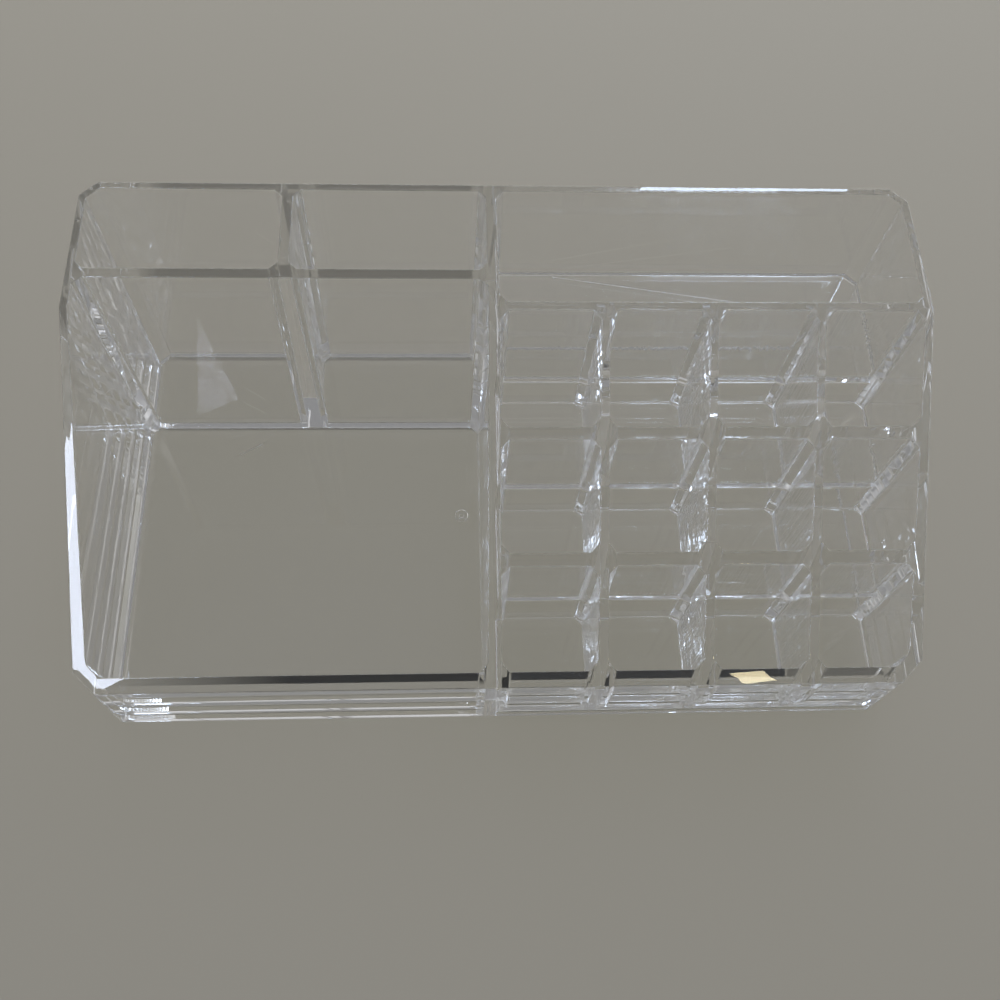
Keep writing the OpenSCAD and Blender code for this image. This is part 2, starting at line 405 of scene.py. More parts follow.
def sheet(
    outer: Ring, holes: Sequence[Ring], creases: Sequence[tuple[Vector, Vector]] = ()
) -> Skin:
    """A flat or creased sheet between an outer loop and its holes, in triangles.

    Args:
        outer: The outer loop.
        holes: The holes' loops.
        creases: Lines that the triangles keep, between points of the loops.

    Returns:
        The sheet as a skin whose faces look up.
    """
    points: list[Vector] = []
    edges: list[tuple[int, int]] = []
    for loop in [outer, *holes]:
        start = len(points)
        points += loop
        edges += [(start + i, start + (i + 1) % len(loop)) for i in range(len(loop))]
    for a, b in creases:
        edges.append((nearest(points, a), nearest(points, b)))
    flat = [p.to_2d() for p in points]
    found, _, triangles, *_ = delaunay_2d_cdt(flat, edges, [], 0, SAME_MM)
    if len(found) != len(points):
        raise ValueError(f"the sheet's loops meet: {len(found)} points from {len(points)}")
    skin = Skin()
    order = skin.add([points[nearest(points, p)] for p in found])
    # The triangles come in any order, and are put in one that is the same in every run
    starts = [triangle.index(min(triangle)) for triangle in triangles]
    for triangle in sorted(t[start:] + t[:start] for t, start in zip(triangles, starts)):
        middle = sum((found[i] for i in triangle), Vector((0, 0))) / 3
        if inside(middle, outer) and not any(inside(middle, hole) for hole in holes):
            skin.faces.append(tuple(order[i] for i in triangle))
    return skin


def nearest(points: Sequence[Vector], to: Vector) -> int:
    """Place in a list of the point nearest to another, seen from above."""
    return min(range(len(points)), key=lambda i: (points[i].to_2d() - to.to_2d()).length_squared)


def add_object(name: str, data: Any) -> bpy.types.Object:
    """A new object in the scene."""
    made = bpy.data.objects.new(name, data)
    bpy.context.scene.collection.objects.link(made)
    return made


# Nodes


def linear(code: str) -> Four:
    """An sRGB hex colour as linear red, green, blue and an alpha of 1, by the sRGB curve."""
    values = [int(code[i : i + 2], 16) / 255 for i in (1, 3, 5)]
    made = [v / 12.92 if v <= 0.04045 else ((v + 0.055) / 1.055) ** 2.4 for v in values]
    return (made[0], made[1], made[2], 1.0)


def empty_tree(owner: Any) -> Tree:
    """The nodes of a material, lamp or world, with none there yet."""
    owner.use_nodes = True
    owner.node_tree.nodes.clear()
    return owner.node_tree


def add_node(
    tree: Tree, kind: str, inputs: Sequence[Any] | dict[str | int, Any] = (), **settings: Any
) -> Any:
    """Adds a node with its settings, values and links.

    Args:
        tree: The node's tree.
        kind: The node's type.
        inputs: Values or the output sockets that feed them, in order, or by name or number.
        settings: The node's own properties.

    Returns:
        The new node's output sockets.
    """
    node = tree.nodes.new(kind)
    for name, value in settings.items():
        setattr(node, name, value)
    for name, value in inputs.items() if isinstance(inputs, dict) else enumerate(inputs):
        if isinstance(value, bpy.types.NodeSocket):
            tree.links.new(value, node.inputs[name])
        else:
            node.inputs[name].default_value = value
    return node.outputs


def highest(tree: Tree, sockets: Sequence[Any]) -> Any:
    """The greatest of several sockets."""
    return reduce(
        lambda a, b: add_node(tree, "ShaderNodeMath", [a, b], operation="MAXIMUM")[0], sockets
    )


# The compartments


# Least length of a corner bevel at a floor, beside the radius of the upright edges
BEVEL_KEPT = 1.5


class Foot(Enum):
    """How a compartment's side meets its floor."""

    COVE = "cove"
    FOOT = "foot"


@dataclass(frozen=True)
class Compartment:
    """One open compartment: its outline, its floor and how its sides meet the floor."""

    name: str
    size: Moulding
    outline: Outline
    floor: float
    feet: tuple[Foot, ...]

    def foot_radii(self) -> list[float]:
        """Radii at the feet of the eight sides. A bevel's is wide enough to keep its length."""
        size = self.size
        flat = [size.cove if f is Foot.COVE else size.foot for f in self.feet]
        radii = []
        for i in range(4):
            spare = flat[i] + flat[(i + 1) % 4] - self.outline.cut[i] + BEVEL_KEPT * size.upright
            radii += [flat[i], max(size.foot, spare / math.sqrt(2))]
        return radii

    def rings(self) -> list[Ring]:
        """Rings from the floor up to the rim's plane."""
        radii = self.foot_radii()
        heights = {0.0}
        for radius, steps in ((self.size.foot, FOOT_STEPS), (max(radii), COVE_STEPS)):
            turns = [math.pi / 2 * k / steps for k in range(1, steps + 1)]
            heights |= {radius * (1 - math.cos(turn)) for turn in turns}
        rings = []
        for h in sorted(heights):
            inset = [r - math.sqrt(max(0.0, r * r - max(0.0, r - h) ** 2)) for r in radii]
            rings.append(self.outline.ring(self.floor + h, inset))
        return rings + self.outline.rim_rings(self.size, self.size.lip, 1.0)

    def lining(self) -> Skin:
        """The compartment's inside faces, open at the rim."""
        skin = Skin()
        skin.faces.append(tuple(skin.loft(self.rings(), inward=True)[0]))
        return skin


def cell_row_nodes() -> Tree:
    """Geometry Nodes that repeat one cell's lining along a row.

    Returns:
        The tree, with inputs for the lining, the number of cells, their pitch and the finish.
    """
    tree = bpy.data.node_groups.new("cell_row", "GeometryNodeTree")
    for name, kind in (
        ("Lining", "Geometry"), ("Cells", "Int"), ("Pitch", "Float"), ("Finish", "Material")
    ):
        tree.interface.new_socket(name, in_out="INPUT", socket_type=f"NodeSocket{kind}")
    tree.interface.new_socket("Row", in_out="OUTPUT", socket_type="NodeSocketGeometry")
    given = add_node(tree, "NodeGroupInput")
    offset = add_node(tree, "ShaderNodeCombineXYZ", {"X": given["Pitch"]})["Vector"]
    inputs = {"Count": given["Cells"], "Offset": offset}
    line = add_node(tree, "GeometryNodeMeshLine", inputs, mode="OFFSET")["Mesh"]
    inputs = {"Points": line, "Instance": given["Lining"]}
    cells = add_node(tree, "GeometryNodeInstanceOnPoints", inputs)["Instances"]
    real = add_node(tree, "GeometryNodeRealizeInstances", {"Geometry": cells})["Geometry"]
    inputs = {"Geometry": real, "Material": given["Finish"]}
    dressed = add_node(tree, "GeometryNodeSetMaterial", inputs)["Geometry"]
    add_node(tree, "NodeGroupOutput", {"Row": dressed})
    return tree


@dataclass(frozen=True)
class Compartments:
    """All sixteen compartments: a front tray, two bays, a raised tray and twelve cells."""

    size: Moulding

    def compartment(
        self,
        name: str,
        floor: float,
        reach: Four,
        outside: Sequence[bool],
        crease: float | None = None,
    ) -> Compartment:
        """A compartment, by which of its four sides are outside walls.

        An outside wall leans more than a divider, meets the base plate in a wider cove and meets
        another outside wall in a wider bevel.

        Args:
            name: The compartment's name.
            floor: Its floor's height.
            reach: Its four sides' reaches.
            outside: True for each side that is an outside wall.
            crease: Where the rim's bend crosses it, or none.

        Returns:
            The compartment.
        """
        s = self.size
        lean = tuple(s.inner_t if wall else s.divider_t for wall in outside)
        pairs = [(outside[i], outside[(i + 1) % 4]) for i in range(4)]
        cut = tuple(s.corner_web if a and b else s.web for a, b in pairs)
        low = floor == s.floor_t
        feet = tuple(Foot.COVE if wall and low else Foot.FOOT for wall in outside)
        outline = Outline(s.height, reach, lean, cut, s.upright, crease=crease)
        return Compartment(name, s, outline, floor, feet)

    def front_tray(self) -> Compartment:
        """The large tray at the front left, which the rim's bend crosses."""
        s = self.size
        reach = (s.in_y, s.main_l, s.cross_b - s.divider_wall, s.in_x)
        outside = (True, False, False, True)
        return self.compartment("front_tray", s.floor_t, reach, outside, s.bend_y)

    def bays(self) -> list[Compartment]:
        """The two bays behind the front tray."""
        s = self.size
        left = (-s.cross_b, s.bay_w - s.in_x, s.in_y, s.in_x)
        right = (-s.cross_b, s.main_l, s.in_y, s.in_x - s.bay_w - s.divider_wall)
        return [
            self.compartment("left_bay", s.floor_t, left, (False, False, True, True)),
            self.compartment("right_bay", s.floor_t, right, (False, False, True, False)),
        ]

    def raised_tray(self) -> Compartment:
        """The long raised tray behind the cells."""
        s = self.size
        reach = (-s.grid_b, s.in_x, s.in_y, -s.main_r)
        return self.compartment("raised_tray", s.raised_floor, reach, (False, True, True, False))

    def cell(self, row: int, col: int) -> Compartment:
        """One cell, counted from the back left."""
        s = self.size
        x, y = s.cell_x(col), s.cell_y(row)
        reach = (-y, x + s.cell_w, y + s.cell_d, -x)
        outside = (row == s.cell_rows - 1, col == s.cell_cols - 1, False, False)
        return self.compartment(f"cell_{row}_{col}", s.cell_floor(row), reach, outside)

    def trays(self) -> list[Compartment]:
        """The compartments beside the cells, the front tray first."""
        return [self.front_tray(), *self.bays(), self.raised_tray()]

    def all(self) -> list[Compartment]:
        """Every compartment, each on its own, the front tray first."""
        s = self.size
        cells = [self.cell(row, col) for row in range(s.cell_rows) for col in range(s.cell_cols)]
        return [*self.trays(), *cells]

    def linings(self, finish: bpy.types.Material) -> list[bpy.types.Mesh]:
        """Meshes of all the linings. A row's like cells come from one, repeated.

        Args:
            finish: The material that the repeated cells get.

        Returns:
            The meshes, in metres.
        """
        s = self.size
        single = [*self.trays(), *(self.cell(row, s.cell_cols - 1) for row in range(s.cell_rows))]
        meshes = [c.lining().mesh(c.name) for c in single]
        tree = cell_row_nodes()
        for row in range(s.cell_rows):
            start = self.cell(row, 0)
            piece = add_object(start.name, start.lining().mesh(start.name))
            maker = piece.modifiers.new("cell_row", "NODES")
            maker.node_group = tree
            pitch = (s.cell_w + s.column_wall) * MM
            asked = {"Cells": s.cell_cols - 1, "Pitch": pitch, "Finish": finish}
            for socket in tree.interface.items_tree:
                if socket.name in asked:
                    maker[socket.identifier] = asked[socket.name]
            meshes.append(plain_mesh(piece))
            bpy.data.objects.remove(piece)
        bpy.data.node_groups.remove(tree)
        return meshes


def plain_mesh(piece: bpy.types.Object) -> bpy.types.Mesh:
    """A piece's mesh with its modifiers applied, as a mesh of its own."""
    bpy.context.view_layer.update()
    seen = piece.evaluated_get(bpy.context.evaluated_depsgraph_get())
    return bpy.data.meshes.new_from_object(seen)


# The outside and the underside


@dataclass(frozen=True)
class Shell:
    """The outside walls' outside faces, from the base's edge up to the rim."""

    size: Moulding

    def outline(self) -> Outline:
        """The outside outline, whose corner bevels stand upright."""
        s = self.size
        return Outline(
            s.height,
            (s.rim_y, s.rim_x, s.rim_y, s.rim_x),
            (-s.outer_t,) * 4,
            (s.corner_cut,) * 4,
            s.upright,
            cut_lean=2 * s.outer_t,
            crease=s.bend_y,
        )

    def rings(self) -> list[Ring]:
        """Rings from the base's face, round its edge, up to the rim's plane."""
        outline, edge = self.outline(), self.size.base_edge
        rings = []
        for step in range(EDGE_STEPS + 1):
            turn = math.pi / 2 * step / EDGE_STEPS
            z, inset = edge * (1 - math.cos(turn)), edge * (1 - math.sin(turn))
            rings.append(outline.ring(z, [inset] * 8))
        return rings + outline.rim_rings(self.size, self.size.lip, -1.0)

    def skin(self) -> Skin:
        """The outside faces, open at the base and the rim."""
        skin = Skin()
        skin.loft(self.rings(), inward=False)
        return skin


@dataclass(frozen=True)
class Hollow:
    """The hollow under the raised floors, open to the table, stepping down with the floors."""

    size: Moulding
    # How far it bites into the foot of each wall above it, how wide its edges are rounded, and
    # the rounding's profile, which is a circle's
    bite: float = 0.3
    edge: float = 0.7
    profile: float = 0.5

    def steps(self) -> list[Pair]:
        """The stepped ceiling, seen from the side, from the back to the front."""
        s = self.size
        back = s.base_d / 2 - s.skirt
        points = [(back, 0.0)]
        high = s.raised_floor - s.floor_t
        points.append((back - s.divider_t * high, high))
        for row in range(s.cell_rows):
            wall_back = s.cell_y(row) + s.cell_d + s.row_wall
            foot = wall_back + s.divider_t * (s.height - high) - self.bite
            low = s.cell_floor(row) - s.floor_t
            points += [(foot, high), (foot - s.divider_t * (high - low), low)]
            high = low
        front = s.skirt - s.base_d / 2
        return [*points, (front + s.divider_t * high, high), (front, 0.0)]

    def skin(self) -> Shape:
        """The hollow's faces, open at the table, with its edges softened."""
        s = self.size
        top = s.raised_floor - s.floor_t
        left = s.main_r + s.divider_t * (s.height - top) - self.bite
        right = s.base_w / 2 - s.skirt
        made = bmesh.new()
        sides = []
        for way in (-1, 1):
            loop = []
            for y, z in self.steps():
                x = left - s.divider_t * (top - z) if way < 0 else right - s.divider_t * z
                loop.append(made.verts.new((x, y, z)))
            sides.append(loop)
        made.faces.new(sides[0])
        made.faces.new(list(reversed(sides[1])))
        for i in range(len(sides[0]) - 1):
            made.faces.new((sides[0][i], sides[1][i], sides[1][i + 1], sides[0][i + 1]))
        made.faces.new((sides[0][-1], sides[1][-1], sides[1][0], sides[0][0]))
        cut = s.corner_cut + 2 * s.outer_t * s.height - (2 - math.sqrt(2)) * s.skirt
        for way in (-1, 1):
            corner = Vector((right - cut / 2, way * (s.base_d / 2 - s.skirt - cut / 2), 0))
            # The plane leans in with the hollow's sides
            normal = Vector((1, way, math.sqrt(2) * s.divider_t)).normalized()
            self.slice(made, corner, normal)
        for face in [f for f in made.faces if all(abs(v.co.z) < FLAT_MM for v in f.verts)]:
            made.faces.remove(face)
        edges = [e for e in made.edges if len(e.link_faces) == 2]
        bmesh.ops.bevel(
            made,
            geom=edges,
            offset=self.edge,
            segments=EDGE_STEPS,
            profile=self.profile,
            affect="EDGES",
            clamp_overlap=True,
        )
        bmesh.ops.remove_doubles(made, verts=made.verts, dist=WELD_MM)
        return made

    @staticmethod
    def slice(made: Shape, point: Vector, normal: Vector) -> None:
        """Cuts a closed shape with a plane and closes it again.

        Args:
            made: The shape.
            point: A point on the plane.
            normal: The side that is cut away.
        """
        geom = [*made.verts, *made.edges, *made.faces]
        cut = bmesh.ops.bisect_plane(
            made, geom=geom, dist=FLAT_MM, plane_co=point, plane_no=normal, clear_outer=True
        )
        edges = [e for e in cut["geom_cut"] if isinstance(e, bmesh.types.BMEdge)]
        bmesh.ops.contextual_create(made, geom=edges)

    @staticmethod
    def mouths(made: Shape) -> list[Ring]:
        """The loops along an open shape's edge."""
        open_edges = [e for e in made.edges if len(e.link_faces) == 1]
        loops = []
        while open_edges:
            edge = open_edges.pop()
            start, here = edge.verts
            loop = [start.co.copy(), here.co.copy()]
            while here is not start:
                edge = next(e for e in here.link_edges if e in open_edges)
                open_edges.remove(edge)
                here = edge.other_vert(here)
                if here is not start:
                    loop.append(here.co.copy())
            loops.append(loop)
        return loops


@dataclass(frozen=True)
class GateMark:
    """The mould gate's round dimple under the front tray, with the trimmed gate inside it."""

    size: Moulding
    steps: int = 40
    # The trimmed gate's radius beside the dimple's, and how far the dimple's side runs in at its
    # mouth and above it. Then how high the mouth is, and how far the edges of the flat ring
    # between the side and the gate run in and up
    gate: float = 0.36
    draft: float = 0.04
    mouth: float = 0.12
    side_edge: Pair = (0.17, 0.15)
    gate_edge: Pair = (0.2, 0.12)
    tip_edge: Pair = (0.05, 0.06)

    def rings(self) -> list[Ring]:
        """Rings from the dimple's mouth in the base's face to the tip of the trimmed gate."""
        s = self.size
        r, deep, tip = s.gate_d / 2, s.gate_deep, s.gate_deep / 2
        gate, side = self.gate * s.gate_d / 2, s.gate_d / 2 - 2 * self.draft
        profile = [
            (r, 0.0),
            (r - self.draft, self.mouth),
            (side, deep - self.side_edge[1]),
            (side - self.side_edge[0], deep),
            (gate + self.gate_edge[0], deep),
            (gate, deep - self.gate_edge[1]),
            (gate - self.tip_edge[0], tip + self.tip_edge[1]),
            (gate / 2, tip),
        ]
        x = s.main_l - s.divider_t * s.height - s.gate_gap
        around = [2 * math.pi * k / self.steps for k in range(self.steps)]
        return [
            [Vector((x + rad * math.cos(t), rad * math.sin(t), z)) for t in around]
            for rad, z in profile
        ]

    def skin(self) -> Skin:
        """The dimple's faces, open at the base."""
        skin = Skin()
        skin.faces.append(tuple(skin.loft(self.rings(), inward=True)[-1]))
        return skin


# An edge that turns by more degrees than this stays sharp, and a broad face holds its own
# shading flat this strongly, of 100
SHARP_ANGLE = 38.0
FLAT_WEIGHT = 100
CM3_IN_M3 = 1e6


@dataclass(frozen=True)
class Organizer:
    """The whole moulding as one closed piece."""

    size: Moulding = Moulding()

    def rim_sheet(self) -> Skin:
        """The flat and sloping faces of the rim, between the outside and the compartments."""
        every = Compartments(self.size).all()
        outer, tray = Shell(self.size).rings()[-1], every[0].rings()[-1]
        bend = self.size.bend_y
        creases = []
        for side in (-1, 1):
            ends = [
                next(p for p in loop if p.x * side > middle * side and abs(p.y - bend) < BEND_MM)
                for loop, middle in ((outer, 0.0), (tray, -self.size.in_x / 2))
            ]
            creases.append((ends[0], ends[1]))
        return sheet(outer, [c.rings()[-1] for c in every], creases)

    def base_sheet(self, hollow: Shape) -> Skin:
        """The flat face that stands on the table, between the outside and the hollow."""
        holes = [*Hollow.mouths(hollow), GateMark(self.size).rings()[0]]
        skin = sheet(Shell(self.size).rings()[0], holes)
        skin.faces = [tuple(reversed(f)) for f in skin.faces]
        return skin

    def build(self, finish: bpy.types.Material) -> bpy.types.Object:
        """Builds the moulding.

        Args:
            finish: Its material.

        Returns:
            The object, at the origin, in metres.
        """
        hollow = Hollow(self.size).skin()
        skins = [
            Shell(self.size).skin(),
            GateMark(self.size).skin(),
            self.rim_sheet(),
            self.base_sheet(hollow),
        ]
        bmesh.ops.scale(hollow, vec=Vector((MM, MM, MM)), verts=hollow.verts)
        under = bpy.data.meshes.new("hollow")
        hollow.to_mesh(under)
        hollow.free()
        meshes = [under, *(skin.mesh("skin") for skin in skins)]
        meshes += Compartments(self.size).linings(finish)
        # Joined in a new mesh, so that the faces come in the same order in every run
        whole = bmesh.new()
        for mesh in meshes:
            whole.from_mesh(mesh)
            bpy.data.meshes.remove(mesh)
        bmesh.ops.remove_doubles(whole, verts=whole.verts, dist=WELD_M)
        loose = [e for e in whole.edges if len(e.link_faces) != 2]
        if loose:
            place = loose[0].verts[0].co
            raise ValueError(f"the moulding isn't closed: {len(loose)} edges, one at {place}")
        bmesh.ops.recalc_face_normals(whole, faces=whole.faces)
        if whole.calc_volume(signed=True) < 0:
            bmesh.ops.reverse_faces(whole, faces=whole.faces)
        log.info("moulding: %d faces, %.1f cm3", len(whole.faces), whole.calc_volume() * CM3_IN_M3)
        made = bpy.data.meshes.new("moulding")
        whole.to_mesh(made)
        whole.free()
        piece = add_object("moulding", made)
        piece.data.materials.clear()
        piece.data.materials.append(finish)
        for polygon in piece.data.polygons:
            polygon.material_index = 0
        self.soften(piece)
        return piece

    @staticmethod
    def soften(piece: bpy.types.Object) -> None:
        """Shades small radii smoothly and keeps broad faces flat."""
        piece.data.shade_smooth()
        piece.data.set_sharp_from_angle(angle=math.radians(SHARP_ANGLE))
        flat = piece.modifiers.new("flat_faces", "WEIGHTED_NORMAL")
        flat.mode, flat.weight, flat.keep_sharp = "FACE_AREA", FLAT_WEIGHT, True
        mesh = plain_mesh(piece)
        old = piece.data
        piece.modifiers.clear()
        piece.data = mesh
        bpy.data.meshes.remove(old)


# Finishes


@dataclass(frozen=True)
class Scratch:
    """One long fine scratch on a floor, from point to point, in millimetres."""

    start: Triple
    end: Triple
    width: float


# Up to this height in millimetres, a place is on the base's face or on the table
BASE_TOP = 0.1


@dataclass(frozen=True)
class FootShade:
    """A strip where the table lies in shade, because a wall's foot turns the lamps' light aside.

    Places are in millimetres. The shade grows from nothing at the left over the fade's length.
    On the table it is painted shade, and through the plastic it is lamp light held back.
    """

    left: float
    right: float
    front: float
    back: float
    fade: float
    dark: float

    def share(self, tree: Tree, axes: Any) -> Any:
        """How much a place is shaded, from 0 to 1.

        Args:
            tree: The material's nodes.
            axes: X, Y and Z of the object coordinates.

        Returns:
            The share, as a socket.
        """
        inputs = [axes["X"], self.left * MM, (self.left + self.fade) * MM, 0.0, self.dark]
        share = add_node(tree, "ShaderNodeMapRange", inputs)[0]
        for test, axis, limit in (
            ("LESS_THAN", "X", self.right),
            ("GREATER_THAN", "Y", self.front),
            ("LESS_THAN", "Y", self.back),
            ("LESS_THAN", "Z", BASE_TOP),
        ):
            within = add_node(tree, "ShaderNodeMath", [axes[axis], limit * MM], operation=test)[0]
            share = add_node(tree, "ShaderNodeMath", [share, within], operation="MULTIPLY")[0]
        return share


def under_feet(tree: Tree, place: Any, feet: Sequence[FootShade], lit: str, dark: str) -> Any:
    """A colour that darkens under the walls' feet, as painted shade or as lamp light held back.

    Args:
        tree: The material's nodes.
        place: Object coordinates.
        feet: The shaded strips.
        lit: The hex colour beside them.
        dark: The hex colour in them.

    Returns:
        The colour, as a socket.
    """
    axes = add_node(tree, "ShaderNodeSeparateXYZ", [place])
    share = highest(tree, [foot.share(tree, axes) for foot in feet])
    # A mix of colours takes them at its inputs 6 and 7 and gives the outcome at its output 2
    inputs = {0: share, 6: linear(lit), 7: linear(dark)}
    return add_node(tree, "ShaderNodeMix", inputs, data_type="RGBA")[2]


@dataclass(frozen=True)
class CrystalPolystyrene:
    """Crystal polystyrene, injection moulded in a polished mould.

    It is as clear as glass and bends light more, so that edges and webs flash and the walls
    double what is behind them. Where the melt flowed and shrank, the polished faces are a little
    wavy, which bends straight lines seen through them. Handling leaves a few fine scratches.
    """

    name: str = "crystal_polystyrene"
    tint: str = "#fefefe"
    ior: float = 1.59
    roughness: float = 0.012
    # Flow waves lie 22 mm from crest to crest and are 20 micrometres high, with ripples 9 mm apart
    # and 3 micrometres high on them. Detail and roughness are the noise's own
    wave_mm: float = 22.0
    wave_height_mm: float = 0.02
    ripple_mm: float = 9.0
    ripple_height_mm: float = 0.003
    wave_detail: float = 1.0
    wave_roughness: float = 0.4
    # Polishing lines run up the cells' partitions, 1 mm apart and 40 mm long, and end within a
    # millimetre at this distance from the middle of the cells. They fade out as a face leans from
    # a wall's normal to a floor's, by the height that the normal reaches
    line_mm: float = 1.0
    line_length_mm: float = 40.0
    line_height_mm: float = 0.024
    lines_middle_mm: float = 55.0
    lines_within_mm: float = 57.0
    lines_fade_mm: float = 1.0
    wall_rise: float = 0.2
    floor_rise: float = 0.5
    # A scratch is fully rough over this share of its width
    scratch_core: float = 0.3
    scratch_roughness: float = 0.45
    # What a lamp's light keeps through each face, and the most faces that a ray is followed to
    shadow: str = "#fdfdfc"
    longest_run: int = 26
    # Strips of the base's face that keep lamp light from the table. Upright walls and their coves
    # turn it aside, and the rims show the dark table under the feet: the front wall's at the left
    # half, most of all, and there the cross divider's and the rear wall's
    foot_shadow: str = "#2c2c2a"
    feet: tuple[FootShade, ...] = (
        FootShade(-122.0, 1.0, -63.4, -60.6, 58.0, 1.0),
        FootShade(-117.0, -4.0, 32.9, 37.4, 8.0, 0.45),
        FootShade(-117.0, -4.0, 62.4, 67.0, 8.0, 0.45),
    )
    scratches: tuple[Scratch, ...] = (
        Scratch((17.9, 62.3, 48.0), (77.6, 52.4, 48.0), 0.22),
        Scratch((-85.7, 22.5, 2.4), (-78.3, 26.7, 2.4), 0.25),
    )

    def waves(self, tree: Tree, place: Any) -> Any:
        """Bump for the faces' flow waves and for the polishing lines up the walls.

        Args:
            tree: The material's nodes.
            place: Object coordinates.

        Returns:
            The normal, as a socket.
        """
        stretch = (1.0, 1.0, self.line_mm / self.line_length_mm)
        drawn = add_node(tree, "ShaderNodeMapping", {"Vector": place, "Scale": stretch})["Vector"]
        facing = add_node(tree, "ShaderNodeNewGeometry")["True Normal"]
        upward = add_node(tree, "ShaderNodeSeparateXYZ", [facing])["Z"]
        rise = add_node(tree, "ShaderNodeMath", [upward], operation="ABSOLUTE")[0]
        inputs = [rise, self.wall_rise, self.floor_rise, 1.0, 0.0]
        walls = add_node(tree, "ShaderNodeMapRange", inputs)[0]
        x = add_node(tree, "ShaderNodeSeparateXYZ", [place])["X"]
        inputs = [x, self.lines_middle_mm * MM]
        side = add_node(tree, "ShaderNodeMath", inputs, operation="SUBTRACT")[0]
        away = add_node(tree, "ShaderNodeMath", [side], operation="ABSOLUTE")[0]
        ends = [self.lines_within_mm * MM, (self.lines_within_mm + self.lines_fade_mm) * MM]
        cells = add_node(tree, "ShaderNodeMapRange", [away, *ends, 1.0, 0.0])[0]
        lined = add_node(tree, "ShaderNodeMath", [walls, cells], operation="MULTIPLY")[0]
        normal = None
        for spread, wave, height, share in (
            (place, self.wave_mm, self.wave_height_mm, 1.0),
            (place, self.ripple_mm, self.ripple_height_mm, 1.0),
            (drawn, self.line_mm, self.line_height_mm, lined),
        ):
            inputs = {"Vector": spread, "Scale": 1 / (wave * MM), "Detail": self.wave_detail}
            inputs["Roughness"] = self.wave_roughness
            noise = add_node(tree, "ShaderNodeTexNoise", inputs)["Fac"]
            inputs = {"Height": noise, "Strength": share, "Distance": height * MM}
            if normal is not None:
                inputs["Normal"] = normal
            normal = add_node(tree, "ShaderNodeBump", inputs)["Normal"]
        return normal

    def near(self, tree: Tree, place: Any, scratch: Scratch) -> Any:
        """How much of a scratch there is at a place, from 0 to 1.

        Args:
            tree: The material's nodes.
            place: Object coordinates.
            scratch: The scratch.

        Returns:
            The share, as a socket.
        """
        start = Vector(scratch.start) * MM
        along = Vector(scratch.end) * MM - start
        way = along / along.length_squared
        kind = "ShaderNodeVectorMath"
        offset = add_node(tree, kind, [place, start], operation="SUBTRACT")["Vector"]
        share = add_node(tree, kind, [offset, way], operation="DOT_PRODUCT")["Value"]
        held = add_node(tree, "ShaderNodeClamp", [share])[0]
        closest = add_node(tree, kind, {0: along, "Scale": held}, operation="SCALE")["Vector"]
        gap = add_node(tree, kind, [offset, closest], operation="DISTANCE")["Value"]
        inputs = [gap, scratch.width * MM, scratch.width * MM * self.scratch_core]
        return add_node(tree, "ShaderNodeMapRange", inputs, interpolation_type="SMOOTHSTEP")[0]

    def material(self) -> bpy.types.Material:
        """Builds the finish."""
        made = bpy.data.materials.new(self.name)
        tree = empty_tree(made)
        place = add_node(tree, "ShaderNodeTexCoord")["Object"]
        worn = highest(tree, [self.near(tree, place, scratch) for scratch in self.scratches])
        ends = [0.0, 1.0, self.roughness, self.scratch_roughness]
        inputs = {
            "Base Color": linear(self.tint),
            "IOR": self.ior,
            "Transmission Weight": 1.0,
            "Roughness": add_node(tree, "ShaderNodeMapRange", [worn, *ends])[0],
            "Normal": self.waves(tree, place),
        }
        clear = add_node(tree, "ShaderNodeBsdfPrincipled", inputs)
        # Lamps shine through to the table, a little dimmer after each face, and light that has
        # run inside the walls for long enough comes out
        kept = under_feet(tree, place, self.feet, self.shadow, self.foot_shadow)
        lamps = add_node(tree, "ShaderNodeBsdfTransparent", {"Color": kept})
        ray = add_node(tree, "ShaderNodeLightPath")
        inputs = [ray["Ray Depth"], self.longest_run]
        spent = add_node(tree, "ShaderNodeMath", inputs, operation="GREATER_THAN")[0]
        straight = highest(tree, [ray["Is Shadow Ray"], spent])
        mixed = add_node(tree, "ShaderNodeMixShader", [straight, clear[0], lamps[0]])
        add_node(tree, "ShaderNodeOutputMaterial", {"Surface": mixed[0]})
        return made


@dataclass(frozen=True)
class PaleTable:
    """A plain pale matt table top, whose colour carries a painted shade.

    Behind the skirt's foot, where the hollow is open to the table, the front wall's shade is painted
    on the table itself, as dark strips in its colour.
    """

    name: str = "pale_table"
    colour: str = "#a9a69d"
    # The colour of the painted shade under the front wall's foot
    shade: str = "#22211f"
    roughness: float = 0.6
    specular: float = 0.25
    # Strips where the front wall's shade is painted into the table's colour
    feet: tuple[FootShade, ...] = (
        FootShade(1.0, 87.0, -63.2, -59.8, 2.0, 1.0),
        FootShade(87.0, 117.0, -63.2, -59.8, 1.0, 0.6),
    )

    def material(self) -> bpy.types.Material:
        """Builds the finish."""
        made = bpy.data.materials.new(self.name)
        tree = empty_tree(made)
        place = add_node(tree, "ShaderNodeTexCoord")["Object"]
        inputs = {
            "Base Color": under_feet(tree, place, self.feet, self.colour, self.shade),
            "Roughness": self.roughness,
            "Specular IOR Level": self.specular,
        }
        matt = add_node(tree, "ShaderNodeBsdfPrincipled", inputs)
        add_node(tree, "ShaderNodeOutputMaterial", {"Surface": matt[0]})
        return made


# The studio


# A ray shows a lamp of reflections alone, and the walls' shine, while it has turned fewer times
# than this. Light that has run through corners would show them again and again
LAMP_TURNS = 4
SHINE_TURNS = 3


class Seen(Enum):
    """Where a lamp shows."""

    EVERYWHERE = "on the table, in reflections and through the plastic"
    REFLECTED = "in reflections alone"
    NOWHERE = "on the table alone, as a fill light"


